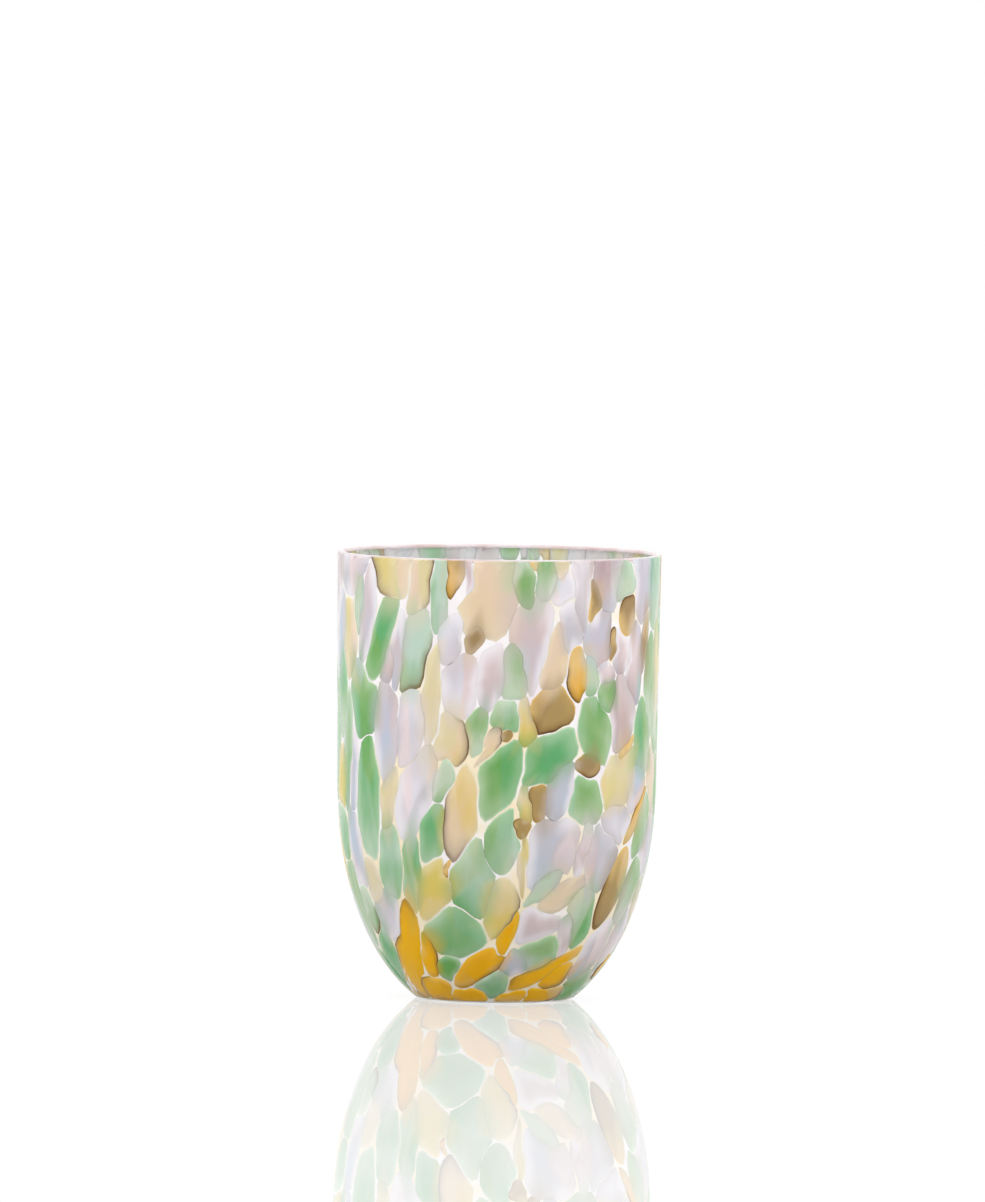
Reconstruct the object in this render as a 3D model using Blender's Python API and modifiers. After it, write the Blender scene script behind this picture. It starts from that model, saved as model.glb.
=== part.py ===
"""Tumbler glass: a mould-blown clear cup with coloured glass chips melted flush into its outer wall.

Metres, +Z up. The origin is the middle of the foot, on the surface that the glass stands on.
A bearing is counted in degrees round the axis from the front (-Y), towards +X.
"""
import math

import bmesh
import bpy
from mathutils import Matrix, Vector

# The blown cup, outside
HEIGHT = 0.100          # foot to rim
RIM_RADIUS = 0.03625
BOWL_RADIUS = 0.0357    # where the straight wall runs into the rounded bowl
BOWL_HEIGHT = 0.050
BOWL_CURVE = 2.17       # exponent of the outer curve: 2 is an ellipse, more is fuller
FOOT_RADIUS = 0.0173    # where the bowl's curve would meet the table
HEEL_ROUND = 0.001      # softened edge between the bowl and the foot
FOOT_RING = 0.006       # width of the ground ring that the glass stands on
PONTIL_DEPTH = 0.0005   # shallow polished hollow inside that ring

# The blown cup, inside
RIM_WALL = 0.0015
WALL = 0.0021
BASE = 0.0050
INNER_CURVE = 2.45      # the same exponent for the inner curve

# The chips in the wall
SEAM = 0.0003           # gap between a chip and its pocket, all round and behind
BACKING = 0.0005        # clear glass left behind a chip where the wall is thinnest
CHIP_ROUNDNESS = 2.4    # exponent of a chip's outline: 2 is an ellipse, more is squarer
POCKET_OVERCUT = BOWL_RADIUS / 36   # past the bow of the bowl over a long chip's flat faces

# Facets
TURN_STEPS = 60
BOWL_STEPS = 12
LIP_STEPS = 4
HEEL_STEPS = 3
PONTIL_STEPS = 2
CHIP_SIDES = 12
CHIP_RINGS = 2

# Each kind of glass: colour, roughness, how much light it lets through
GLASSES = {
    "clear": ((0.93, 0.94, 0.93), 0.03, 0.95),
    "green": ((0.24, 0.55, 0.30), 0.08, 0.60),
    "straw": ((0.80, 0.62, 0.30), 0.08, 0.65),
    "amber": ((0.75, 0.38, 0.05), 0.08, 0.60),
    "lilac": ((0.74, 0.69, 0.75), 0.10, 0.40),
    "pink": ((0.76, 0.58, 0.64), 0.10, 0.45),
}

# The largest chips. Each one stretched with the bubble as it was blown, so it is laid out on the wall
# itself: colour, foot end and rim end as (bearing in degrees, height in hundredths of the glass),
# and width in degrees of bearing.
CHIPS = [
    # Round the rim, front
    ("straw", (-40.3, 92), (-41.3, 98.4), 13),
    ("straw", (-30.5, 87.8), (-27, 98.4), 7.5),
    ("amber", (-17.5, 92.8), (-15, 98.4), 7),
    ("straw", (-9, 82.3), (-2, 98.4), 16),
    ("green", (11, 89), (8, 98.4), 6),
    ("amber", (52, 84), (53.5, 92.2), 6.5),
    # Upper wall, front
    ("green", (-52, 74), (-41, 90.6), 9.5),
    ("green", (-34, 71.5), (-29.5, 86.6), 10),
    ("straw", (18, 71.5), (22.5, 83.5), 8.5),
    ("amber", (29.5, 70.2), (28.5, 79), 5.5),
    ("green", (-56.5, 60.5), (-57, 73), 12),
    ("amber", (18.5, 61.6), (20.5, 70.5), 13),
    ("lilac", (-34, 57), (-33, 70), 9),
    ("pink", (51, 59), (51, 72), 9.5),
    # Middle of the wall, front
    ("straw", (-17, 53.6), (-15, 64.4), 9.5),
    ("green", (-1, 46), (3, 59.5), 13),
    ("green", (15, 49.8), (22, 60.4), 14),
    ("green", (38.5, 56.6), (38, 68), 10),
    ("green", (63, 53), (67, 66), 9.5),
    ("straw", (46, 45.5), (54, 57), 14),
    ("green", (-54, 35), (-54, 59.2), 11),
    ("lilac", (-34, 39), (-27, 55), 11),
    # Bowl, front
    ("straw", (-15.5, 34.5), (-11.5, 53), 10),
    ("green", (-42.5, 25), (-43, 38.5), 9.5),
    ("green", (-9.6, 22), (-8.2, 34), 12),
    ("green", (2, 31.6), (6, 42.8), 11),
    ("lilac", (16, 28), (23, 42.6), 17),
    ("lilac", (41, 28), (43, 39.5), 12),
    ("amber", (49.5, 19.2), (55.5, 32.8), 9),
    ("straw", (-27, 21.2), (-23, 32.2), 11),
    ("straw", (3.8, 15.6), (3.6, 26.2), 11),
    ("green", (38.5, 13.6), (37.5, 25.6), 9.5),
    ("green", (-19, 11.8), (-17, 20.4), 19),
    ("amber", (-51, 3.6), (-40, 20), 12),
    ("amber", (-35, 6), (-32, 14), 6.5),
    ("amber", (-14, 5), (-1, 11), 13),
    ("amber", (15, 4), (40, 11.4), 15),
    # Right side, back and left side, from the rim down
    ("green", (95, 80), (100, 95), 11),
    ("straw", (129, 84), (132, 97), 10),
    ("green", (165, 82), (170, 97), 10),
    ("pink", (-160, 77), (-162, 94), 11),
    ("green", (-127, 81), (-124, 97), 10),
    ("lilac", (-90, 78), (-89, 95), 12),
    ("lilac", (111, 56), (113, 73), 12),
    ("green", (145, 50), (148, 69), 13),
    ("straw", (176, 55), (175, 70), 11),
    ("green", (-144, 52), (-141, 70), 13),
    ("amber", (-114, 57), (-111, 69), 9),
    ("green", (-86, 50), (-83, 67), 10),
    ("green", (90, 27), (93, 43), 12),
    ("straw", (124, 26), (127, 41), 12),
    ("lilac", (160, 25), (162, 42), 14),
    ("green", (-162, 24), (-160, 41), 13),
    ("lilac", (-125, 28), (-123, 44), 13),
    ("straw", (-90, 24), (-87, 38), 12),
    ("amber", (105, 7), (113, 17), 14),
    ("green", (160, 7), (164, 17), 17),
    ("amber", (-122, 7), (-116, 16), 15),
]

LIP_RADIUS = RIM_WALL / 2
LIP_HEIGHT = HEIGHT - LIP_RADIUS
BOWL_REACH = BOWL_HEIGHT / (1 - (FOOT_RADIUS / BOWL_RADIUS) ** BOWL_CURVE) ** (1 / BOWL_CURVE)
CHIP_DEPTH = min(WALL, RIM_WALL) - BACKING - SEAM


def wall_radius(height):
    """Outer radius of the cup: a full curve below the bowl's top, a straight taper above it."""
    if height < BOWL_HEIGHT:
        drop = (BOWL_HEIGHT - height) / BOWL_REACH
        return BOWL_RADIUS * (1 - drop ** BOWL_CURVE) ** (1 / BOWL_CURVE)
    rise = (height - BOWL_HEIGHT) / (LIP_HEIGHT - BOWL_HEIGHT)
    return BOWL_RADIUS + (RIM_RADIUS - BOWL_RADIUS) * rise


def on_wall(bearing, hundredths, proud=0.0):
    """Point on the outer wall, moved out by proud along the wall's normal."""
    height = HEIGHT * hundredths / 100
    step = HEIGHT / 1000
    slope = (wall_radius(height + step) - wall_radius(height - step)) / (2 * step)
    outward = Vector((1, 0, -slope)).normalized()
    radius = wall_radius(height) + proud * outward.x
    turn = math.radians(bearing)
    return Vector((radius * math.sin(turn), -radius * math.cos(turn), height + proud * outward.z))


def cup_profile():
    """Half section of the cup: up the inside from the axis, over the rim, down the outside."""
    points = []
    inner_radius = BOWL_RADIUS - WALL
    inner_depth = BOWL_HEIGHT - BASE
    for i in range(BOWL_STEPS + 1):
        turn = math.pi / 2 * (1 - i / BOWL_STEPS)
        radius = inner_radius * max(math.cos(turn), 0) ** (2 / INNER_CURVE)
        drop = inner_depth * math.sin(turn) ** (2 / INNER_CURVE)
        points.append((radius if i else 0.0, BOWL_HEIGHT - drop))
    for i in range(LIP_STEPS + 1):
        turn = math.pi * (1 - i / LIP_STEPS)
        lip_middle = RIM_RADIUS - LIP_RADIUS
        points.append((lip_middle + LIP_RADIUS * math.cos(turn), LIP_HEIGHT + LIP_RADIUS * math.sin(turn)))
    for i in range(BOWL_STEPS):
        height = BOWL_HEIGHT - (BOWL_HEIGHT - HEEL_ROUND) * math.sin(math.pi / 2 * i / BOWL_STEPS)
        points.append((wall_radius(height), height))
    heel_start = Vector((wall_radius(HEEL_ROUND), HEEL_ROUND))
    heel_corner = Vector((FOOT_RADIUS, 0.0))
    heel_end = Vector((FOOT_RADIUS - HEEL_ROUND, 0.0))
    for i in range(HEEL_STEPS + 1):
        share = i / HEEL_STEPS
        upper = heel_start.lerp(heel_corner, share)
        points.append(tuple(upper.lerp(heel_corner.lerp(heel_end, share), share)))
    pontil_radius = FOOT_RADIUS - HEEL_ROUND - FOOT_RING
    for i in range(PONTIL_STEPS + 1):
        share = 1 - i / PONTIL_STEPS
        points.append((pontil_radius * share, PONTIL_DEPTH * (1 - share ** 2)))
    return points


def chip_outline(foot_end, rim_end, width):
    """Rounded outline of a chip on the wall, as (bearing, height in hundredths)."""
    outline = []
    for i in range(CHIP_SIDES):
        turn = 2 * math.pi * i / CHIP_SIDES
        across, along = math.cos(turn), math.sin(turn)
        reach = (abs(across) ** CHIP_ROUNDNESS + abs(along) ** CHIP_ROUNDNESS) ** (-1 / CHIP_ROUNDNESS)
        share = 0.5 + 0.5 * along * reach
        bearing = foot_end[0] + (rim_end[0] - foot_end[0]) * share + 0.5 * width * across * reach
        outline.append((bearing, foot_end[1] + (rim_end[1] - foot_end[1]) * share))
    return outline


def grown(outline, clearance):
    """The same outline with every point moved out along the wall by the clearance."""
    wider = []
    for i, here in enumerate(outline):
        point = on_wall(*here)
        along = on_wall(*outline[(i + 1) % CHIP_SIDES]) - on_wall(*outline[i - 1])
        normal = on_wall(*here, proud=clearance) - point
        moved = point + along.cross(normal).normalized() * clearance
        turn = math.degrees(math.atan2(moved.x, -moved.y))
        turn += 360 * round((here[0] - turn) / 360)
        wider.append((turn, 100 * moved.z / HEIGHT))
    return wider


def wall_patch(name, outline, proud, thickness):
    """Closed plate that lies on the wall inside an outline, with its outer face proud of the wall."""
    middle = [sum(values) / CHIP_SIDES for values in zip(*outline)]
    place = Matrix.Translation(on_wall(*middle)) @ Matrix.Rotation(math.radians(middle[0]), 4, "Z")
    to_local = place.inverted()
    bm = bmesh.new()
    bmesh.ops.create_circle(bm, cap_ends=True, cap_tris=True, segments=CHIP_SIDES, radius=1)
    spokes = [edge for edge in bm.edges if not edge.is_boundary]
    bmesh.ops.subdivide_edges(bm, edges=spokes, cuts=CHIP_RINGS - 1)
    for vert in bm.verts:
        side = round(math.atan2(-vert.co.x, vert.co.y) / (2 * math.pi) * CHIP_SIDES) % CHIP_SIDES
        spot = Vector(middle).lerp(Vector(outline[side]), vert.co.length)
        vert.co = to_local @ on_wall(*spot, proud=proud)
    bmesh.ops.triangulate(bm, faces=bm.faces)
    mesh = bpy.data.meshes.new(name)
    bm.to_mesh(mesh)
    bm.free()
    mesh.shade_smooth()
    patch = bpy.data.objects.new(name, mesh)
    patch.location = place.to_translation()
    patch.rotation_euler = place.to_euler()
    shell = patch.modifiers.new("thickness", "SOLIDIFY")
    shell.thickness = thickness
    shell.offset = -1
    return patch


def glass_material(kind):
    colour, roughness, clearness = GLASSES[kind]
    material = bpy.data.materials.new(kind + "_glass")
    material.use_nodes = True
    shader = material.node_tree.nodes["Principled BSDF"]
    shader.inputs["Base Color"].default_value = (*colour, 1)
    shader.inputs["Roughness"].default_value = roughness
    shader.inputs["Metallic"].default_value = 0.0
    shader.inputs["Transmission Weight"].default_value = clearness
    shader.inputs["IOR"].default_value = 1.5
    return material


def new_collection(name):
    collection = bpy.data.collections.new(name)
    bpy.context.scene.collection.children.link(collection)
    return collection


def make_cup(pockets):
    """Turned clear cup with a pocket cut for every chip."""
    points = cup_profile()
    mesh = bpy.data.meshes.new("glass_body")
    mesh.from_pydata([(radius, 0, height) for radius, height in points],
                     [(i, i + 1) for i in range(len(points) - 1)], [])
    cup = bpy.data.objects.new("glass_body", mesh)
    turn = cup.modifiers.new("turn", "SCREW")
    turn.steps = TURN_STEPS
    turn.render_steps = TURN_STEPS
    turn.use_merge_vertices = True
    turn.merge_threshold = 0.00001
    cut = cup.modifiers.new("pockets", "BOOLEAN")
    cut.operation = "DIFFERENCE"
    cut.solver = "EXACT"
    cut.operand_type = "COLLECTION"
    cut.collection = pockets
    return cup


for old in list(bpy.data.objects):
    bpy.data.objects.remove(old, do_unlink=True)

parts = new_collection("tumbler_glass")
pockets = new_collection("pocket_cutters")
glasses = {kind: glass_material(kind) for kind in GLASSES}

stand = bpy.data.objects.new("tumbler", None)
parts.objects.link(stand)

body = make_cup(pockets)
body.data.materials.append(glasses["clear"])
body.parent = stand
parts.objects.link(body)

count = dict.fromkeys(GLASSES, 0)
for kind, foot_end, rim_end, width in CHIPS:
    count[kind] += 1
    name = f"{kind}_chip_{count[kind]:02d}"
    outline = chip_outline(foot_end, rim_end, width)

    chip = wall_patch(name, outline, 0.0, CHIP_DEPTH)
    chip.data.materials.append(glasses[kind])
    chip.parent = stand
    parts.objects.link(chip)

    pocket_depth = POCKET_OVERCUT + CHIP_DEPTH + SEAM
    pocket = wall_patch(name + "_pocket", grown(outline, SEAM), POCKET_OVERCUT, pocket_depth)
    pocket.hide_render = True
    pocket.display_type = "WIRE"
    pocket.parent = stand
    pockets.objects.link(pocket)
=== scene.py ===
"""Tumbler glass with a confetti of coloured chips, on a white mirror table.

Metres, +Z up, with the foot's middle at the origin and the front at -Y. A place on the wall is a bearing
in degrees from the front, towards +X, and a height in hundredths of the glass.
"""
import math
import random

import bmesh
import bpy
import numpy as np
from mathutils import Matrix, Vector


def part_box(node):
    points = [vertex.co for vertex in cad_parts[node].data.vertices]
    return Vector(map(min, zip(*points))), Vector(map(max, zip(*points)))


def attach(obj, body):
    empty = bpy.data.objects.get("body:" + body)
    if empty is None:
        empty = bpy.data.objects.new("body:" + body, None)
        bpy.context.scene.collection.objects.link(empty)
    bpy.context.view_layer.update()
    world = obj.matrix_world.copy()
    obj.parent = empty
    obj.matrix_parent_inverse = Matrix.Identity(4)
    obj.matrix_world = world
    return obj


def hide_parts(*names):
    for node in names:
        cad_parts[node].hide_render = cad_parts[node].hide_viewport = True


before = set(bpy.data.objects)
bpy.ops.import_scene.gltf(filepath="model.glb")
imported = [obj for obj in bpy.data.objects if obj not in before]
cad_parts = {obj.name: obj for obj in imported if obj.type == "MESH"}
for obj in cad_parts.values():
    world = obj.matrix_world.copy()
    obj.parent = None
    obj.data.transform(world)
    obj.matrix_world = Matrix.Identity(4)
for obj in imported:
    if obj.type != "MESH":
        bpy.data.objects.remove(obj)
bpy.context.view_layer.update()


# The cup. One gather of clear glass under a thin coat of milk glass, which shows between the chips, blown
# into a mould with its straight wall and round bowl in one piece. The lip is fire-polished, and the foot
# stands on a ground ring round the pontil hollow.
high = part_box("glass_body")[1]
cup_height = high.z
rim_radius = high.x
lip_radius = 0.00075
lip_height = cup_height - lip_radius
bowl_radius = 0.0357
bowl_height = 0.05
bowl_curve = 2.17
foot_radius = 0.0173
heel_round = 0.001
wall_thickness = 0.0021
base_thickness = 0.005
inner_curve = 2.45
pontil_radius = 0.0103
pontil_depth = 0.0005
seam_depth = 0.00012
foot_seam_depth = 0.00015
foot_seam_height = 0.014
coat_gap = 0.0003
coat_gap_least = 0.00006
coat_thickness = 0.00005
coat_foot = 0.001
coat_foot_fade = 0.003
coat_top = lip_height - 0.0002
coat_top_fade = 0.0006
bowl_reach = bowl_height / (1 - (foot_radius / bowl_radius) ** bowl_curve) ** (1 / bowl_curve)


def wall_radius(level):
    """Outer radius at a height: a full curve in the bowl, and a straight taper above it."""
    below = np.clip((bowl_height - level) / bowl_reach, 0, 1)
    above = np.clip((level - bowl_height) / (lip_height - bowl_height), 0, 1)
    return bowl_radius * (1 - below ** bowl_curve) ** (1 / bowl_curve) + (rim_radius - bowl_radius) * above


def relief(level):
    """Depth of the milk wall under the chips' faces, more where the bowl turns in to the foot."""
    return seam_depth + foot_seam_depth * np.clip(1 - level / foot_seam_height, 0, 1)


def coat(level):
    """Depth of the clear glass under the face of the milk coat, which runs out at the heel and the lip."""
    from_foot = np.clip((level - coat_foot) / coat_foot_fade, 0, 1)
    return coat_gap * from_foot * np.clip((coat_top - level) / coat_top_fade, 0, 1)


section = []
for share in np.linspace(0, 1, 37):
    turn = math.pi / 2 * (1 - share)
    inner = (bowl_radius - wall_thickness) * max(math.cos(turn), 0) ** (2 / inner_curve)
    depth = (bowl_height - base_thickness) * math.sin(turn) ** (2 / inner_curve)
    section.append((inner if share else 0, bowl_height - depth))
lip_middle = rim_radius - lip_radius
for turn in np.linspace(math.pi, 0, 13):
    lip_bend = lip_radius - relief(cup_height) * max(math.cos(turn), 0) ** 2
    section.append((lip_middle + lip_bend * math.cos(turn), lip_height + lip_bend * math.sin(turn)))
wall_levels = [coat_top, coat_top - coat_top_fade / 2]
wall_levels.extend(np.linspace(coat_top - coat_top_fade, bowl_height, 15)[:-1])
for turn in np.linspace(0, math.pi / 2, 91):
    wall_levels.append(bowl_height - (bowl_height - heel_round) * math.sin(turn))
for level in wall_levels:
    section.append((float(wall_radius(level) - relief(level) - coat(level)), level))
coated = [level for level in wall_levels if coat(level) > coat_gap_least]
coat_section = [(float(wall_radius(level) - relief(level)), level) for level in coated]
coat_section += [(radius - coat_thickness, level) for radius, level in coat_section[::-1]]
heel_top = Vector((section[-1][0], heel_round))
heel_corner = Vector((foot_radius, 0))
heel_end = Vector((foot_radius - heel_round, 0))
for share in np.linspace(0.2, 1, 5):
    section.append(heel_top.lerp(heel_corner, share).lerp(heel_corner.lerp(heel_end, share), share))
for share in np.linspace(1, 0, 7):
    section.append((pontil_radius * share, pontil_depth * (1 - share ** 2)))

whole_turn = {"cent": (0, 0, 0), "axis": (0, 0, 1), "angle": 2 * math.pi, "steps": 192, "use_merge": True}
bm = bmesh.new()
back = bm.verts.layers.float.new("back")
verts = [bm.verts.new((radius, 0, level)) for radius, level in section]
edges = [bm.edges.new(pair) for pair in zip(verts, verts[1:])]
bmesh.ops.spin(bm, geom=verts + edges, **whole_turn)
bmesh.ops.remove_doubles(bm, verts=bm.verts, dist=0.000001)
clear_faces = len(bm.faces)
verts = [bm.verts.new((radius, 0, level)) for radius, level in coat_section]
edges = [bm.edges.new(pair) for pair in zip(verts, verts[1:] + verts[:1])]
for vert in verts[len(coated):]:
    vert[back] = 1.0
bmesh.ops.spin(bm, geom=verts + edges, **whole_turn)
bmesh.ops.recalc_face_normals(bm, faces=bm.faces)
mesh = bpy.data.meshes.new("cup")
bm.to_mesh(mesh)
bm.free()
mesh.shade_smooth()
cup = bpy.data.objects.new("cup", mesh)
bpy.context.scene.collection.objects.link(cup)

clear = bpy.data.materials.new("clear_glass")
clear.use_nodes = True
nodes, links = clear.node_tree.nodes, clear.node_tree.links
shader = nodes["Principled BSDF"]
shader.inputs["Roughness"].default_value = 0.03
shader.inputs["Transmission Weight"].default_value = 1.0
shader.inputs["IOR"].default_value = 1.5
place = nodes.new("ShaderNodeTexCoord")
cloud = nodes.new("ShaderNodeTexNoise")
cloud.inputs["Scale"].default_value = 90
tint = nodes.new("ShaderNodeValToRGB")
tint.color_ramp.elements[0].color = (0.97, 0.99, 0.98, 1)
tint.color_ramp.elements[1].color = (1, 1, 1, 1)
links.new(place.outputs["Object"], cloud.inputs["Vector"])
links.new(cloud.outputs["Fac"], tint.inputs["Fac"])
links.new(tint.outputs["Color"], shader.inputs["Base Color"])
mesh.materials.append(clear)

milk = bpy.data.materials.new("milk_glass")
milk.use_nodes = True
nodes, links = milk.node_tree.nodes, milk.node_tree.links
shader = nodes["Principled BSDF"]
shader.inputs["Roughness"].default_value = 0.2
shader.inputs["IOR"].default_value = 1.5
shader.inputs["Subsurface Weight"].default_value = 1.0
shader.inputs["Subsurface Radius"].default_value = (1, 1, 1)
inner_face = nodes.new("ShaderNodeAttribute")
inner_face.attribute_name = "back"
scatter = nodes.new("ShaderNodeMapRange")
scatter.inputs["To Min"].default_value = 0.000005
scatter.inputs["To Max"].default_value = 0.0016
links.new(inner_face.outputs["Fac"], scatter.inputs["Value"])
links.new(scatter.outputs["Result"], shader.inputs["Subsurface Scale"])
place = nodes.new("ShaderNodeTexCoord")
cloud = nodes.new("ShaderNodeTexNoise")
cloud.inputs["Scale"].default_value = 70
cast = nodes.new("ShaderNodeValToRGB")
cast.color_ramp.elements[0].position = 0.35
cast.color_ramp.elements[0].color = (0.88, 0.81, 0.84, 1)
cast.color_ramp.elements[1].position = 0.5
cast.color_ramp.elements[1].color = (0.92, 0.89, 0.88, 1)
cast.color_ramp.elements.new(0.65).color = (0.92, 0.8, 0.6, 1)
height = nodes.new("ShaderNodeSeparateXYZ")
warmth = nodes.new("ShaderNodeMapRange")
warmth.inputs["From Max"].default_value = 0.06
warmth.inputs["To Min"].default_value = 0.14
warmth.inputs["To Max"].default_value = 0
lowered = nodes.new("ShaderNodeMath")
links.new(place.outputs["Object"], cloud.inputs["Vector"])
links.new(place.outputs["Object"], height.inputs["Vector"])
links.new(height.outputs["Z"], warmth.inputs["Value"])
links.new(cloud.outputs["Fac"], lowered.inputs[0])
links.new(warmth.outputs["Result"], lowered.inputs[1])
links.new(lowered.outputs["Value"], cast.inputs["Fac"])
links.new(cast.outputs["Color"], shader.inputs["Base Color"])
mesh.materials.append(milk)

lip = bpy.data.materials.new("lip_glass")
lip.use_nodes = True
nodes, links = lip.node_tree.nodes, lip.node_tree.links
shader = nodes["Principled BSDF"]
shader.inputs["Roughness"].default_value = 0.1
shader.inputs["Transmission Weight"].default_value = 0.1
shader.inputs["Subsurface Weight"].default_value = 1.0
shader.inputs["Subsurface Radius"].default_value = (1, 1, 1)
shader.inputs["Subsurface Scale"].default_value = 0.001
shader.inputs["IOR"].default_value = 1.5
place = nodes.new("ShaderNodeTexCoord")
cloud = nodes.new("ShaderNodeTexNoise")
cloud.inputs["Scale"].default_value = 110
cast = nodes.new("ShaderNodeValToRGB")
cast.color_ramp.elements[0].position = 0.35
cast.color_ramp.elements[0].color = (0.68, 0.53, 0.52, 1)
cast.color_ramp.elements[1].position = 0.6
cast.color_ramp.elements[1].color = (0.78, 0.7, 0.72, 1)
links.new(place.outputs["Object"], cloud.inputs["Vector"])
links.new(cloud.outputs["Fac"], cast.inputs["Fac"])
links.new(cast.outputs["Color"], shader.inputs["Base Color"])
mesh.materials.append(lip)
for face in mesh.polygons:
    level = face.center.z
    outward = face.normal.x * face.center.x + face.normal.y * face.center.y > 0
    past_coat = outward and level > heel_round / 10 and coat(level) < coat_gap_least / 2
    if level > lip_height:
        face.material_index = mesh.materials.find("lip_glass")
    elif face.index >= clear_faces or past_coat:
        face.material_index = mesh.materials.find("milk_glass")
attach(cup, "root")
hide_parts("glass_body")


# The pattern. Chips of coloured glass were picked up on the hot gather, and blowing stretched them over the
# wall until their edges nearly met. Each one is kept as its middle on the wall and two half axes.
levels = np.linspace(-0.04, 1.06, 551) * cup_height
girths = wall_radius(levels)
runs = np.concatenate(([0], np.cumsum(np.hypot(np.diff(levels), np.diff(girths)))))
pattern_foot = 0.0004
pattern_top = lip_height + 0.00045
lowest_run = np.interp(pattern_foot, levels, runs)
highest_run = np.interp(pattern_top, levels, runs)
rim_chip_top = 0.96 * cup_height
past_rim_run = np.interp(1.03 * cup_height, levels, runs)
tone_stops = (0.1, 0.5, 0.88)
palettes = {
    "green": ((0.58, 0.66, 0.58), (0.26, 0.46, 0.22), (0.085, 0.37, 0.09)),
    "straw": ((0.72, 0.61, 0.5), (0.73, 0.62, 0.42), (0.69, 0.53, 0.1)),
    "amber": ((0.84, 0.45, 0), (0.74, 0.55, 0.28), (0.35, 0.26, 0.14)),
    "lilac": ((0.84, 0.76, 0.78), (0.56, 0.48, 0.47), (0.46, 0.51, 0.6)),
    "pink": ((0.75, 0.7, 0.71), (0.54, 0.46, 0.42), (0.33, 0.22, 0.26)),
}


def unturned(angle):
    """The same angle between minus and plus half a turn."""
    return (angle + math.pi) % (2 * math.pi) - math.pi


chips = []


def lay(colour, foot_bearing, foot_height, rim_bearing, rim_height, width, tone=None, shade_side=None, deep=None):
    """Keeps a chip given by its two ends on the wall, its width in degrees and its tone of about 0 to 1. The
    side where brown shade is painted and the side where its colour is deepest are degrees round it from its
    right."""
    foot_run, rim_run = np.interp(np.array((foot_height, rim_height)) / 100 * cup_height, levels, runs)
    girth = np.interp((foot_run + rim_run) / 2, runs, girths)
    lean = math.radians(rim_bearing - foot_bearing) * girth / 2
    axes = np.array(((math.radians(width) * girth / 2, lean), (0, (rim_run - foot_run) / 2)))
    chips.append({"colour": colour, "turn": math.radians((foot_bearing + rim_bearing) / 2),
                  "run": (foot_run + rim_run) / 2, "axes": axes, "tone": tone, "shade_side": shade_side, "deep": deep})


cad_tones = {
    "straw": (0.42, 0.2, 0.2, 0.25, 0.6, 0.6, 0.75, 0.85, 0.9),
    "amber": (0.75, 0.9, 0.5, 0.8, 0.95, -0.2, -0.15, -0.15, -0.1),
    "green": (0.3, 0.7, 0.25, 0.7, 0.75, 0.7, 0.65, 0.6, 0.6, 0.5, 0.42, 0.42, 0.5, 0.75),
    "lilac": (0.3, 0.15, 0.5, 0.55),
    "pink": (0.7,),
}
# Sides of the frame's chips that get brown painted shade, in degrees round from each chip's right
cad_shade_sides = {"straw_chip_01": 180, "straw_chip_02": 0, "straw_chip_05": 0, "straw_chip_07": 200,
             "straw_chip_09": 340, "amber_chip_01": 210, "amber_chip_02": 100, "amber_chip_03": 225,
             "amber_chip_04": 270, "amber_chip_05": 200, "amber_chip_07": 0, "amber_chip_08": 315,
             "amber_chip_09": 135, "green_chip_03": 315}
cad_deeps = {"green_chip_01": 270, "green_chip_02": 225, "green_chip_03": 270, "green_chip_04": 270,
             "green_chip_05": 60, "green_chip_06": 250, "green_chip_07": 90, "green_chip_09": 90,
             "green_chip_10": 270, "green_chip_11": 200, "green_chip_12": 150, "green_chip_13": 300,
             "green_chip_14": 300, "straw_chip_01": 180, "straw_chip_02": 0, "straw_chip_03": 220,
             "straw_chip_04": 0, "straw_chip_07": 20, "straw_chip_08": 290, "straw_chip_09": 300,
             "amber_chip_02": 80, "amber_chip_04": 300, "amber_chip_05": 250}
# The frame's own chips, each as the oval round its corners, and run on past the lip where it reaches the rim
for name, node in sorted(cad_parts.items()):
    if "_chip_" not in name:
        continue
    colour, number = name.split("_chip_")
    spots = np.unique(np.round([vert.co for vert in node.data.vertices], 6), axis=0)
    turns = np.arctan2(spots[:, 0], -spots[:, 1])
    turn = math.atan2(np.sin(turns).mean(), np.cos(turns).mean())
    spot_runs = np.interp(spots[:, 2], levels, runs)
    if spots[:, 2].max() > rim_chip_top:
        lowest, highest = spot_runs.min(), spot_runs.max()
        spot_runs = np.interp(spot_runs, (lowest, highest), (lowest, past_rim_run))
    around = unturned(turns - turn) * np.interp(spots[:, 2], levels, girths)
    spread, frame_axes = np.linalg.eigh(np.cov(around, spot_runs))
    frame_axes[:, 0] *= np.linalg.det(frame_axes)
    axes = frame_axes * np.sqrt(spread)
    axes *= np.hypot(*np.linalg.solve(axes, (around, spot_runs - spot_runs.mean()))).max()
    tones = cad_tones[colour]
    chips.append({"colour": colour, "turn": turn, "run": spot_runs.mean(), "axes": axes,
                  "tone": tones[int(number) - 1] if int(number) <= len(tones) else None,
                  "shade_side": cad_shade_sides.get(name), "deep": cad_deeps.get(name)})

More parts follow.
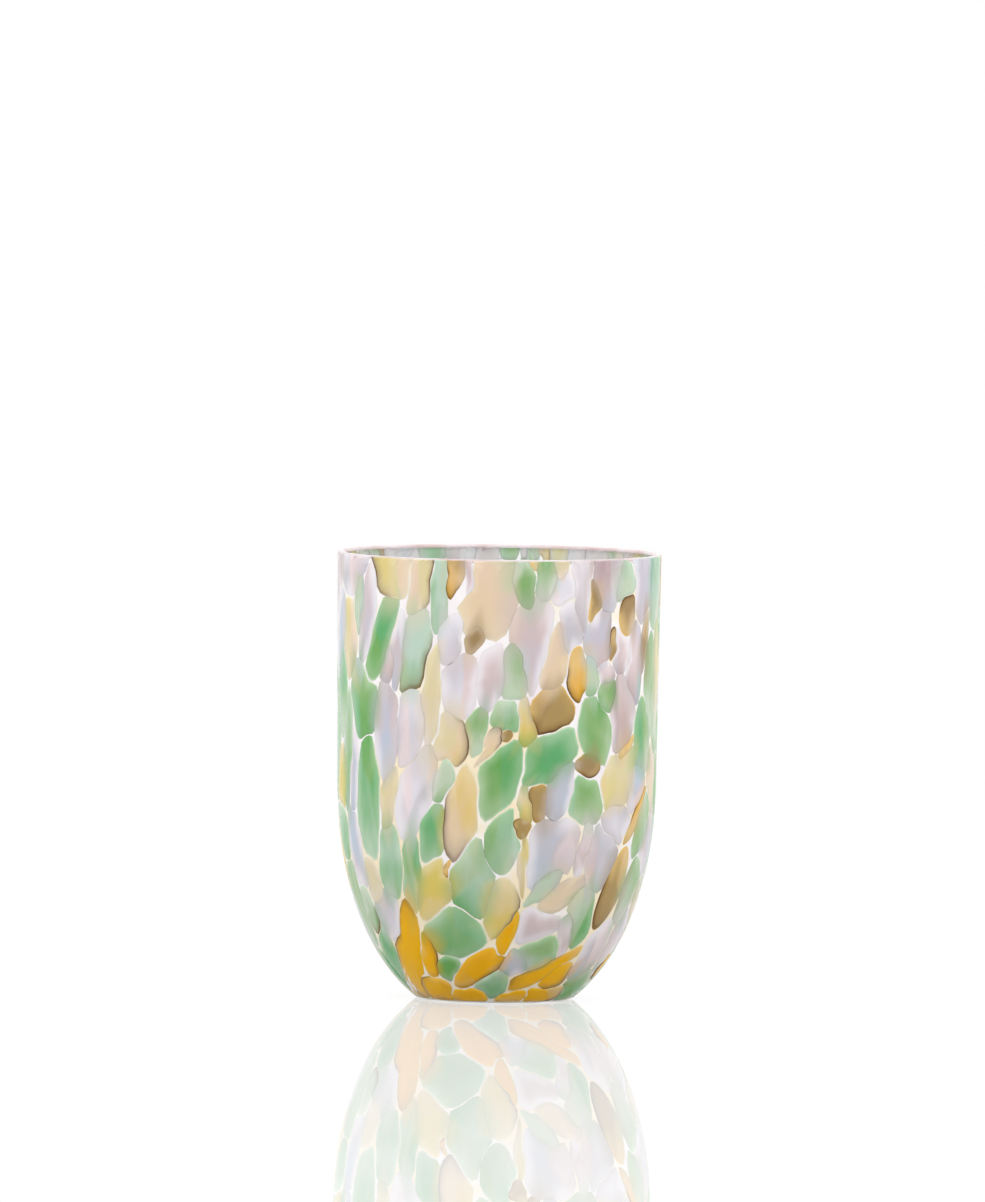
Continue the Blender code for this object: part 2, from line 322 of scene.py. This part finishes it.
# Front, green
lay("green", -22, 87, -20.5, 103, 6, 0.15)
lay("green", -60, 85, -59, 95, 5, 0.3)
lay("green", -69, 46, -67, 65, 7, 0.5)
lay("green", -76, 61, -75, 77, 9, 0.4)
lay("green", -7.5, 57, -7, 66.5, 6, 0.3)
lay("green", 3, 61, 3, 69, 9, 0.3)
lay("green", -21, 46, -17, 56, 6, 0.15)
lay("green", -25, 33, -23, 45, 8, 0.5)
lay("green", -35, 22.8, -33, 36, 8, 0.5)
lay("green", -62, 15, -65, 25, 6, 0.4, 300)
lay("green", -77, 14, -74, 30, 12, 0.4)
lay("green", -65, 6, -59, 15, 11, 0.6)
lay("green", -25, 5.8, -23, 11.3, 10, 0.8)
lay("green", -2, 2.2, -1, 7, 18, 0.6)
lay("green", 21, 8.5, 22, 15, 18, 0.5)
lay("green", 15, 23.5, 24, 32.5, 8, 0.2)
lay("green", 33, 41.5, 34, 51.5, 14, 0.35)
lay("green", 65, 20, 70, 33, 10, 0.45)
lay("green", 66, 34, 70, 45, 8, 0.5)
lay("green", 71, 62, 72, 78, 8, 0.4)
lay("green", 42, 66.5, 43, 72.5, 7, 0.6)
lay("green", 36, 69.5, 36.5, 78.5, 5, 0.15)
lay("green", 52, 90.5, 52, 97, 8, 0.15)
lay("green", 77, 86.5, 77, 103, 12, 0.45)
lay("green", 15.5, 91.5, 17, 103, 6, 0.3)
lay("green", 58, 1, 60, 6, 22, 0.7)
lay("green", 5, 68.5, 8, 80.5, 9, 0.05)
# Front, straw
lay("straw", -68, 75, -67, 89, 8.5, 0.4)
lay("straw", -25, 61.5, -24, 77, 5, 0.35)
lay("straw", -44, 41, -41.5, 52, 6, 0.2)
lay("straw", -54.5, 24, -55.5, 33, 6, 0.3)
lay("straw", 10.5, 59.5, 10, 67.5, 5.5, 0.7)
lay("straw", 10, 41.5, 11, 50, 5, 0.4)
lay("straw", 18, 20.5, 34, 28.5, 9, 0.5)
lay("straw", 10.5, 26.5, 10, 41, 4, 0.3)
lay("straw", 11.5, 97, 11.5, 103, 5, 0.5)
lay("straw", 23, 96, 23, 103, 4.5, 0.15)
lay("straw", 76, 45, 77, 56, 9, 0.1)
# Front, amber, and a straw chip among them
lay("amber", -9.4, 80, -7, 85, 5, 0.95)
lay("straw", -7, 55, 3, 63.5, 6, 0.35, 20)
lay("amber", 3.5, 60, 4.5, 63.5, 3.5, 0.9)
lay("amber", -18.8, 29, -18, 32.5, 2.2, 0.3)
lay("amber", -40, 0.8, -41, 6, 20, -0.2)
lay("amber", -18, 0.8, -15, 3.4, 20, 0)
lay("amber", 3, 12.4, 9, 22, 5, 0)
lay("amber", 14.3, 43, 14.5, 51, 7, 0.85)
lay("amber", 9, 38.3, 9, 42.5, 7, 0.8)
lay("amber", 35, 52, 35, 56, 8, 0.85)
lay("amber", 57, 37.5, 66.5, 47, 4, 0.6)
lay("amber", 36, 86.5, 36.5, 94.8, 4.5, 0.6)
lay("amber", 44.5, 78, 45.5, 84, 4, 0.88)
lay("amber", 63.5, 76, 66.5, 88, 4, 0.95)
lay("amber", 75, 6, 77, 11, 8, 0.2)
lay("amber", 36, 0.8, 38, 3.6, 24, 0.1)
lay("amber", 50, 55.5, 57, 60.5, 4, 0.55)
lay("amber", 10, 0.8, 12, 3, 16, 0.1)
lay("amber", 33, 4, 37, 9.5, 13, -0.1)
# Front, lilac
lay("lilac", -17, 78, -15, 88, 7, 0.3)
lay("lilac", -55.5, 77, -53, 94, 7, 0.95)
lay("lilac", -66, 93, -65, 103, 14, 0.4)
lay("lilac", -45, 53, -43, 71, 10, 0.8)
lay("lilac", -13, 66.5, -13, 79, 10, 0.3)
lay("lilac", -3, 68, -2, 79.5, 9, 0.4)
lay("lilac", -64, 44, -63, 59, 6, 0.9)
lay("lilac", -65, 27, -65, 43, 8, 0.8)
lay("lilac", -49, 14, -48, 24, 13, 0.15)
lay("lilac", 10, 7, 10, 12, 10, 0.6)
lay("lilac", 16.5, 15, 17, 21.5, 15, 0.6)
lay("lilac", 22, 42, 25, 54, 9, 0.5)
lay("lilac", 50, 37.5, 49, 45, 12, 0.3)
lay("lilac", 54, 6.5, 55, 17, 16, 0.5)
lay("lilac", 11.5, 72, 13, 92, 11, 0.45)
lay("lilac", 24.5, 90.5, 24.5, 97, 7.5, 0)
lay("lilac", 39, 75.5, 39, 89, 9, 0.9)
lay("lilac", 50, 75, 50, 83.5, 10, 0.55)
lay("lilac", 63, 88, 64, 103, 9, 0.9)
lay("lilac", 42, 71.5, 42, 78, 8, 0.5)
lay("lilac", 26.5, 80, 26, 90, 6, 0.6)
lay("lilac", 57, 70, 58, 84, 8, 0.6)
lay("lilac", -40, 70.5, -37.5, 86, 6, 0.5)
lay("lilac", 60, 44, 63, 53, 8, 0.6)
lay("lilac", 33, 29, 36, 41, 5, 0.3)
lay("lilac", -11, 89, -10, 103, 3.5, 0.4)
# Front, pink
lay("pink", 33, 11.5, 33, 20, 6, 0.5)
lay("pink", 41, 89.5, 42, 103, 9, 0.5)
lay("pink", 31, 87.5, 30.5, 103, 7, 0.3)
lay("pink", -42.5, 72, -42, 80, 6, 0.3)
# Inside of the far rim, from left to right
far_rim = (
    ("green", -126, 9, 0.6), ("amber", -131.5, 2.5, 0.9), ("lilac", -136, 6, 0), ("lilac", -143, 9, 0.5),
    ("green", -154, 9, 0.6), ("pink", -164, 6, 0.3), ("lilac", -169, 5, 0), ("pink", -174.5, 10, 0.4),
    ("green", 175.5, 8, 0.6), ("lilac", 170.5, 3, 0), ("green", 167, 4, 0.4), ("amber", 163.5, 4, 0.6),
    ("straw", 158, 7, 0.75), ("lilac", 150.5, 8, 0), ("pink", 141.5, 10, 0.45), ("green", 133.5, 5, 0.6),
    ("pink", 126, 8, 0.3), ("straw", 118.5, 5, 0.75), ("green", 111, 7, 0.35),
)
for colour, bearing, width, tone in far_rim:
    lay(colour, bearing, 94.5, bearing, 105, width, tone)


def bent(turns, point_runs):
    """The same points moved in slow waves, so that no edge between two chips is straight."""
    sideways = 0.012 * np.sin(11 * turns + 700 * point_runs)
    sideways_ripple = 0.006 * np.sin(23 * turns - 1500 * point_runs)
    upward = 0.0007 * np.sin(13 * turns - 500 * point_runs)
    upward_ripple = 0.0003 * np.sin(29 * turns + 1300 * point_runs)
    return turns + sideways + sideways_ripple, point_runs + upward + upward_ripple


def spans(others, turns, point_runs):
    """How far out points on the wall lie from each chip's middle, where 1 is that chip's own edge."""
    middles = np.array([(chip["turn"], chip["run"]) for chip in others])
    inverse = np.linalg.inv([chip["axes"] for chip in others])[..., None]
    across = unturned(turns - middles[:, :1]) * np.interp(point_runs, runs, girths)
    up = point_runs - middles[:, 1:]
    return np.hypot(inverse[:, 0, 0] * across + inverse[:, 0, 1] * up,
                    inverse[:, 1, 0] * across + inverse[:, 1, 1] * up)


# The rest is a scatter of chips like those, sparse at the front, with smaller ones thrown in at the end
all_throws = 5000
large_throws = 3000
front_bearing = 75
front_room = 2.2
straight_level = 45
bowl_lengths = (9, 13)
straight_lengths = (11, 18)
chip_widths = (5, 9)
colour_shares = {"green": 36, "straw": 20, "amber": 12, "lilac": 24, "pink": 8}
dice = random.Random(11)
for throw in range(all_throws):
    level = dice.uniform(1.5, 98)
    bearing = dice.uniform(-180, 180)
    girth = float(wall_radius(level / 100 * cup_height))
    shrink = 1 if throw < large_throws else 0.6
    length = shrink * dice.uniform(*(bowl_lengths if level < straight_level else straight_lengths))
    width = shrink * math.degrees(dice.uniform(*chip_widths) / 1000 / girth)
    lean = shrink * dice.uniform(-6, 6)
    colour = dice.choices(list(colour_shares), list(colour_shares.values()))[0]
    run = np.interp(level / 100 * cup_height, levels, runs)
    room = 1 + 0.8 * shrink if abs(bearing) > front_bearing else front_room
    if spans(chips, np.array([math.radians(bearing)]), np.array([run])).min() > room:
        lay(colour, bearing - lean / 2, level - length / 2, bearing + lean / 2, level + length / 2, width)

for chip in chips:
    if chip["tone"] is None:
        chip["tone"] = dice.uniform(0, 1)
    # Most amber chips get brown painted shade along a random side
    if chip["shade_side"] is None and chip["colour"] == "amber" and dice.random() < 0.6:
        chip["shade_side"] = dice.uniform(0, 360)
    if chip["deep"] is None:
        chip["deep"] = dice.choice((90, 270)) + dice.uniform(-50, 50)
    channels = zip(*palettes[chip["colour"]])
    chip["glaze"] = [np.interp(chip["tone"], tone_stops, channel) for channel in channels]

# An edge between two chips is either soft, where they ran together, or a thin pale seam. The brown chips
# spread least.
seam_least, seam_most = -0.00004, 0.00008
soft_overlap = 0.0005
near_run, near_turn = 0.03, 1.2
brown_drop = 0.7
directions = np.linspace(0, 2 * math.pi, 32, endpoint=False)
ring = np.array((np.cos(directions), np.sin(directions)))
reaches = np.linspace(0.1, 2.2, 106)
limits = {"green": 1.8, "straw": 1.8, "amber": 2, "lilac": 2.2, "pink": 2.2}
softness = {"green": 0.45, "straw": 0.4, "amber": 0.35, "lilac": 0.8, "pink": 0.8}
soft_pairs = {}
for number, chip in enumerate(chips):
    spokes = chip["axes"] @ ring
    point_runs = chip["run"] + np.outer(reaches, spokes[1])
    turns = chip["turn"] + np.outer(reaches, spokes[0]) / np.interp(point_runs, runs, girths)
    moved = [points.ravel() for points in bent(turns, point_runs)]
    near = [other for other in range(len(chips)) if other != number
            and abs(chips[other]["run"] - chip["run"]) < near_run
            and abs(unturned(chips[other]["turn"] - chip["turn"])) < near_turn]
    others = spans([chips[other] for other in near], *moved)
    own = spans([chip], *moved)[0].reshape(turns.shape)
    free = np.cumprod(others.min(axis=0).reshape(turns.shape) > own, axis=0).sum(axis=0)
    limit = limits[chip["colour"]] - brown_drop * chip["tone"] * (chip["colour"] == "amber")
    last = np.clip(free, 1, np.count_nonzero(reaches < limit)) - 1
    beside = others.argmin(axis=0).reshape(turns.shape)[last, np.arange(len(directions))]
    chip["beside"] = np.array([chips[near[other]]["glaze"] for other in beside])
    chip["soft"] = np.zeros(len(directions))
    for spot, other in enumerate(beside):
        pair = tuple(sorted((number, near[other])))
        if pair not in soft_pairs:
            chance = softness[chip["colour"]] + softness[chips[near[other]]["colour"]]
            soft_pairs[pair] = float(dice.random() < chance / 2)
        if chip["shade_side"] is None or math.cos(directions[spot] - math.radians(chip["shade_side"])) < 0:
            chip["soft"][spot] = soft_pairs[pair]
    unlike = np.array([chips[near[other]]["colour"] != chip["colour"] for other in beside])
    chip["soft"] = (np.roll(chip["soft"], 1) + 2 * chip["soft"] + np.roll(chip["soft"], -1)) / 4
    seam = dice.uniform(seam_least, seam_most) * (1 - chip["soft"]) - soft_overlap * chip["soft"] * unlike
    reach = np.maximum(reaches[last] - seam / np.hypot(*spokes), reaches[0])
    chip["outline"] = spokes * (np.roll(reach, 1) + 3 * reach + np.roll(reach, -1)) / 5

# A chip starts as a ball, whose rings give its face, edge and back their depths under the wall's face. The
# face of a melted chip dips sooner and less towards its edge.
slope_step = 0.0002
tone_swing = 0.28
back_edge = 0.9
rings = np.linspace(0, 1, 5)
ring_reaches = (0, 0.3, 0.62, 0.95, 1)
crown_depths = (0, 0, 0.000005, 0.00002, 0.0002)
melted_depths = (0, 0, 0.00001, 0.00007, 0.00014)
back_reaches = (0, 0.3, 0.62, 0.97, 1)
back_depths = (0.0004, 0.0004, 0.0004, 0.000385, 0.00038)
melted = {"green": 0, "straw": 0, "amber": 0, "lilac": 0.9, "pink": 0.9}
bm = bmesh.new()
bmesh.ops.create_uvsphere(bm, u_segments=28, v_segments=8, radius=1)
for face in bm.faces:
    face.smooth = True
for edge in bm.edges:
    edge.smooth = max(abs(vert.co.z) for vert in edge.verts) > 0.01
ball_mesh = bpy.data.meshes.new("ball")
bm.to_mesh(ball_mesh)
bm.free()


def chip_mesh(colour):
    """One lens of glass for each chip of a colour, bent to the wall inside its outline."""
    bm = bmesh.new()
    layers = {name: bm.verts.layers.float.new(name) for name in ("tone", "edge", "soft", "shade_side", "back")}
    beside = bm.verts.layers.float_color.new("beside")
    for chip in chips:
        if chip["colour"] != colour:
            continue
        bm.from_mesh(ball_mesh)
        bm.verts.ensure_lookup_table()
        lens = bm.verts[-len(ball_mesh.vertices):]
        ball = np.array([vert.co for vert in lens])
        behind = ball[:, 2] < -0.01
        ring_share = np.arccos(np.clip(np.abs(ball[:, 2]), 0, 1)) / (math.pi / 2)
        out = np.where(behind, np.interp(ring_share, rings, back_reaches),
                       np.interp(ring_share, rings, ring_reaches))
        angle = np.arctan2(ball[:, 1], ball[:, 0])
        across, up, soft, *glaze = [np.interp(angle, directions, values, period=2 * math.pi)
                                    for values in (*chip["outline"], chip["soft"], *chip["beside"].T)]
        across, up = out * across, out * up
        point_runs = np.clip(chip["run"] + up, lowest_run, highest_run)
        level = np.interp(point_runs, runs, levels)
        girth = np.interp(point_runs, runs, girths)
        slope = (wall_radius(level + slope_step) - wall_radius(level - slope_step)) / (2 * slope_step)
        melt = np.maximum(soft, melted[colour])
        crown = (1 - melt) * np.interp(ring_share, rings, crown_depths)
        crown += melt * np.interp(ring_share, rings, melted_depths)
        crown *= relief(level) / relief(cup_height)
        hidden = np.interp(ring_share, rings, back_depths) + relief(level) - relief(cup_height)
        proud = -np.where((ball[:, 2] > 0) | (ring_share > 0.99), crown, hidden)
        turn = chip["turn"] + across / girth
        girth = girth + proud / np.hypot(1, slope)
        level = level - proud * slope / np.hypot(1, slope)
        heading = np.arctan2(up, across)
        # Brown painted shade, strongest on the chip's shaded side and none on the far half
        shade_side = np.maximum(np.cos(heading - math.radians(chip["shade_side"] or 0)), 0) ** 0.6
        values = {
            "tone": chip["tone"] + tone_swing * out * np.cos(heading - math.radians(chip["deep"])),
            "edge": np.minimum(out, np.where(behind, back_edge, 1)),
            "soft": soft,
            "shade_side": shade_side * (chip["shade_side"] is not None),
            "back": np.where(behind, 1.0, 0.0),
        }
        for vert, spot in zip(lens, zip(girth * np.sin(turn), -girth * np.cos(turn), level)):
            vert.co = spot
        for name, layer in layers.items():
            for vert, value in zip(lens, values[name]):
                vert[layer] = value
        for vert, value in zip(lens, zip(*glaze)):
            vert[beside] = (*value, 1)
    mesh = bpy.data.meshes.new(colour + "_chips")
    bm.to_mesh(mesh)
    bm.free()
    piece = bpy.data.objects.new(colour + "_chips", mesh)
    bpy.context.scene.collection.objects.link(piece)
    return piece


def chip_glass(name, tones, casts, cast_share, edge_colour, fringe, shade_brown, depth):
    """Opal glass: a tone for each chip with drifts of two other casts, running into its neighbours at soft
    edges, paler at the others, with brown painted shade along one side, and lightened on its back as painted
    light seen from inside the cup."""
    material = bpy.data.materials.new(name)
    material.use_nodes = True
    nodes, links = material.node_tree.nodes, material.node_tree.links
    shader = nodes["Principled BSDF"]
    shader.inputs["Roughness"].default_value = 0.2
    shader.inputs["Subsurface Weight"].default_value = 1.0
    shader.inputs["Subsurface Radius"].default_value = (1, 1, 1)
    shader.inputs["IOR"].default_value = 1.5
    shader.inputs["Specular IOR Level"].default_value = 0.1
    marks = {}
    for mark in ("tone", "edge", "soft", "shade_side", "back", "beside"):
        marks[mark] = nodes.new("ShaderNodeAttribute")
        marks[mark].attribute_name = mark

    def ranged(source, from_min, from_max, to_min, to_max, smooth=False):
        """A value brought from one range to another."""
        node = nodes.new("ShaderNodeMapRange")
        node.interpolation_type = "SMOOTHSTEP" if smooth else "LINEAR"
        node.inputs["From Min"].default_value = from_min
        node.inputs["From Max"].default_value = from_max
        node.inputs["To Min"].default_value = to_min
        node.inputs["To Max"].default_value = to_max
        links.new(source, node.inputs["Value"])
        return node.outputs["Result"]

    def reckoned(operation, first, second):
        """Two values added, subtracted or multiplied."""
        node = nodes.new("ShaderNodeMath")
        node.operation = operation
        for socket, value in zip(node.inputs, (first, second)):
            if isinstance(value, (int, float)):
                socket.default_value = value
            else:
                links.new(value, socket)
        return node.outputs["Value"]

    def mixed(share, first, second):
        """The first colour with a share of the second."""
        node = nodes.new("ShaderNodeMix")
        node.data_type = "RGBA"
        if isinstance(share, float):
            node.inputs["Factor"].default_value = share
        else:
            links.new(share, node.inputs["Factor"])
        links.new(first, node.inputs["A"])
        if isinstance(second, tuple):
            node.inputs["B"].default_value = (*second, 1)
        else:
            links.new(second, node.inputs["B"])
        return node.outputs["Result"]

    place = nodes.new("ShaderNodeTexCoord")
    stretch = nodes.new("ShaderNodeMapping")
    stretch.inputs["Scale"].default_value = (1, 1, 0.3)
    cloud = nodes.new("ShaderNodeTexNoise")
    cloud.inputs["Scale"].default_value = 220
    cloud.inputs["Detail"].default_value = 3
    links.new(place.outputs["Object"], stretch.inputs["Vector"])
    links.new(stretch.outputs["Vector"], cloud.inputs["Vector"])
    palette = nodes.new("ShaderNodeValToRGB")
    palette.color_ramp.elements.new(0.5)
    for stop, position, colour in zip(palette.color_ramp.elements, tone_stops, tones):
        stop.position = position
        stop.color = (*colour, 1)
    cells = nodes.new("ShaderNodeTexVoronoi")
    cells.feature = "SMOOTH_F1"
    cells.inputs["Scale"].default_value = 130
    cells.inputs["Smoothness"].default_value = 0.3
    links.new(stretch.outputs["Vector"], cells.inputs["Vector"])
    patch = nodes.new("ShaderNodeSeparateColor")
    links.new(cells.outputs["Color"], patch.inputs["Color"])
    shade = reckoned("ADD", ranged(cloud.outputs["Fac"], 0.3, 0.7, -0.1, 0.1),
                     ranged(patch.outputs["Red"], 0.2, 0.8, -0.2, 0.2))
    links.new(reckoned("ADD", marks["tone"].outputs["Fac"], shade), palette.inputs["Fac"])
    cast = nodes.new("ShaderNodeValToRGB")
    for stop, position, colour in zip(cast.color_ramp.elements, (0.35, 0.65), casts):
        stop.position = position
        stop.color = (*colour, 1)
    links.new(patch.outputs["Green"], cast.inputs["Fac"])
    glaze = mixed(cast_share, palette.outputs["Color"], cast.outputs["Color"])
    edge, soft = marks["edge"].outputs["Fac"], marks["soft"].outputs["Fac"]
    blend = reckoned("MULTIPLY", soft, ranged(edge, 0.15, 1, 0, 0.5, smooth=True))
    glaze = mixed(blend, glaze, marks["beside"].outputs["Color"])
    hard = reckoned("SUBTRACT", 1, soft)
    pale = reckoned("ADD", ranged(edge, 0.3, 0.98, 0, fringe, smooth=True),
                    ranged(edge, 0.89, 0.985, 0, 0.9 - fringe, smooth=True))
    glaze = mixed(reckoned("MULTIPLY", hard, pale), glaze, edge_colour)
    # Brown painted shade along the shaded side: a broad band into the chip and a darker line at its edge
    line = reckoned("ADD", ranged(edge, 0.4, 1, 0, 0.5, smooth=True),
                    ranged(edge, 0.8, 0.96, 0, 0.5, smooth=True))
    glaze = mixed(reckoned("MULTIPLY", marks["shade_side"].outputs["Fac"], line), glaze, shade_brown)
    links.new(ranged(marks["back"].outputs["Fac"], 0, 1, depth, 0.0016), shader.inputs["Subsurface Scale"])
    # Painted light: the chips' backs, seen inside the cup, are lightened to stand in for light coming
    # through the wall
    painted_backlight = nodes.new("ShaderNodeGamma")
    links.new(ranged(marks["back"].outputs["Fac"], 0, 1, 1, 0.6), painted_backlight.inputs["Gamma"])
    links.new(glaze, painted_backlight.inputs["Color"])
    links.new(painted_backlight.outputs["Color"], shader.inputs["Base Color"])
    return material


# The green chips. Opal green glass, from pale mint where it stretched thin to leaf green in the bowl, melted
# into the outer wall and flush with it.
green_chips = chip_mesh("green")
green = chip_glass("green_glass", palettes["green"], ((0.38, 0.46, 0.16), (0.3, 0.55, 0.42)), 0.25,
                   (0.6, 0.74, 0.55), 0.35, (0.2, 0.12, 0.04), 0.0006)
green_chips.data.materials.append(green)
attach(green_chips, "root")
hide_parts(*[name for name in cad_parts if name.startswith("green_chip")])


# The straw chips. Pale yellow and peach opal glass in broad flakes, some with a thin brown line of painted
# shade along one side.
straw_chips = chip_mesh("straw")
straw = chip_glass("straw_glass", palettes["straw"], ((0.8, 0.56, 0.42), (0.66, 0.62, 0.28)), 0.3,
                   (0.87, 0.79, 0.64), 0.3, (0.14, 0.07, 0.03), 0.0006)
straw_chips.data.materials.append(straw)
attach(straw_chips, "root")
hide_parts(*[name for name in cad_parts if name.startswith("straw_chip")])


# The amber chips. Golden glass, thick and strong near the foot and brown where it is thin, with brown
# painted shade along one side of many chips, melted flush into the wall like the rest.
amber_chips = chip_mesh("amber")
amber = chip_glass("amber_glass", palettes["amber"], ((0.5, 0.24, 0.04), (0.84, 0.5, 0.01)), 0.15,
                   (0.84, 0.56, 0.15), 0.15, (0.12, 0.05, 0.015), 0.0004)
amber_chips.data.materials.append(amber)
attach(amber_chips, "root")
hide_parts(*[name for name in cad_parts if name.startswith("amber_chip")])


# The lilac chips. Milk glass with a cast from warm white through lilac to blue-grey, the palest and largest
# flakes of the pattern.
lilac_chips = chip_mesh("lilac")
lilac = chip_glass("lilac_glass", palettes["lilac"], ((0.74, 0.58, 0.6), (0.57, 0.62, 0.72)), 0.4,
                   (0.83, 0.78, 0.81), 0.9, (0.4, 0.3, 0.3), 0.0006)
lilac_chips.data.materials.append(lilac)
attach(lilac_chips, "root")
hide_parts(*[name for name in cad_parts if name.startswith("lilac_chip")])


# The pink chips. A few flakes of rose milk glass between the lilac ones, picked up with them and melted
# flush into the wall.
pink_chips = chip_mesh("pink")
pink = chip_glass("pink_glass", palettes["pink"], ((0.72, 0.52, 0.55), (0.6, 0.56, 0.64)), 0.3,
                  (0.85, 0.79, 0.8), 0.8, (0.4, 0.25, 0.25), 0.0006)
pink_chips.data.materials.append(pink)
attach(pink_chips, "root")
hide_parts(*[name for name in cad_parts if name.startswith("pink_chip")])


# The table. A flat white sheet with a polished face, which the glass stands on and which mirrors it
# faintly. It is part of the stage.
bm = bmesh.new()
bmesh.ops.create_grid(bm, x_segments=1, y_segments=1, size=0.7)
mesh = bpy.data.meshes.new("table")
bm.to_mesh(mesh)
bm.free()
table = bpy.data.objects.new("table", mesh)
bpy.context.scene.collection.objects.link(table)
white = bpy.data.materials.new("white_table")
white.use_nodes = True
nodes, links = white.node_tree.nodes, white.node_tree.links
nodes.remove(nodes["Principled BSDF"])
matt = nodes.new("ShaderNodeBsdfDiffuse")
matt.inputs["Color"].default_value = (0.15, 0.15, 0.15, 1)
glow = nodes.new("ShaderNodeEmission")
path = nodes.new("ShaderNodeLightPath")
dimmed = nodes.new("ShaderNodeMapRange")
dimmed.inputs["To Min"].default_value = 0.87
dimmed.inputs["To Max"].default_value = 0.2
links.new(path.outputs["Diffuse Depth"], dimmed.inputs["Value"])
links.new(dimmed.outputs["Result"], glow.inputs["Strength"])
sheet = nodes.new("ShaderNodeAddShader")
mirror = nodes.new("ShaderNodeBsdfAnisotropic")
mirror.inputs["Color"].default_value = (1, 1, 1, 1)
mirror.inputs["Roughness"].default_value = 0.0
mixed = nodes.new("ShaderNodeMixShader")
polish = nodes.new("ShaderNodeMapRange")
polish.inputs["To Min"].default_value = 0.4
polish.inputs["To Max"].default_value = 0.2
links.new(path.outputs["Diffuse Depth"], polish.inputs["Value"])
links.new(polish.outputs["Result"], mixed.inputs["Fac"])
links.new(matt.outputs["BSDF"], sheet.inputs[0])
links.new(glow.outputs["Emission"], sheet.inputs[1])
links.new(sheet.outputs["Shader"], mixed.inputs[1])
links.new(mirror.outputs["BSDF"], mixed.inputs[2])
links.new(mixed.outputs["Shader"], nodes["Material Output"].inputs["Surface"])
mesh.materials.append(white)


# The light. A white tent over the table, so that the glass has no hard highlights. It shows as plain white,
# and lights the glass a little more strongly than it shows.
world = bpy.data.worlds.new("tent")
bpy.context.scene.world = world
world.use_nodes = True
nodes, links = world.node_tree.nodes, world.node_tree.links
nodes["Background"].inputs["Color"].default_value = (1, 1, 1, 1)
path = nodes.new("ShaderNodeLightPath")
lift = nodes.new("ShaderNodeMapRange")
lift.inputs["To Min"].default_value = 1.0
lift.inputs["To Max"].default_value = 1.4
links.new(path.outputs["Diffuse Depth"], lift.inputs["Value"])
links.new(lift.outputs["Result"], nodes["Background"].inputs["Strength"])
bpy.context.scene.view_settings.view_transform = "Standard"
bpy.context.scene.cycles.max_bounces = 24
bpy.context.scene.cycles.diffuse_bounces = 8
bpy.context.scene.cycles.transmission_bounces = 24


# The camera. A long lens a little above the rim, so that the far lip shows over the near one. It is rolled
# by less than a degree.
camera_data = bpy.data.cameras.new("camera")
camera_data.lens = 522
camera_data.sensor_width = 36
camera_data.clip_end = 40
camera = bpy.data.objects.new("camera", camera_data)
bpy.context.scene.collection.objects.link(camera)
aim = Vector((-0.00143, 0, 0.089))
camera.location = aim + Vector((0, -3.895, 0.204))
look = (aim - camera.location).to_track_quat("-Z", "Y").to_matrix().to_4x4()
roll = Matrix.Rotation(math.radians(0.71), 4, "Z")
camera.matrix_world = Matrix.Translation(camera.location) @ look @ roll
bpy.context.scene.camera = camera
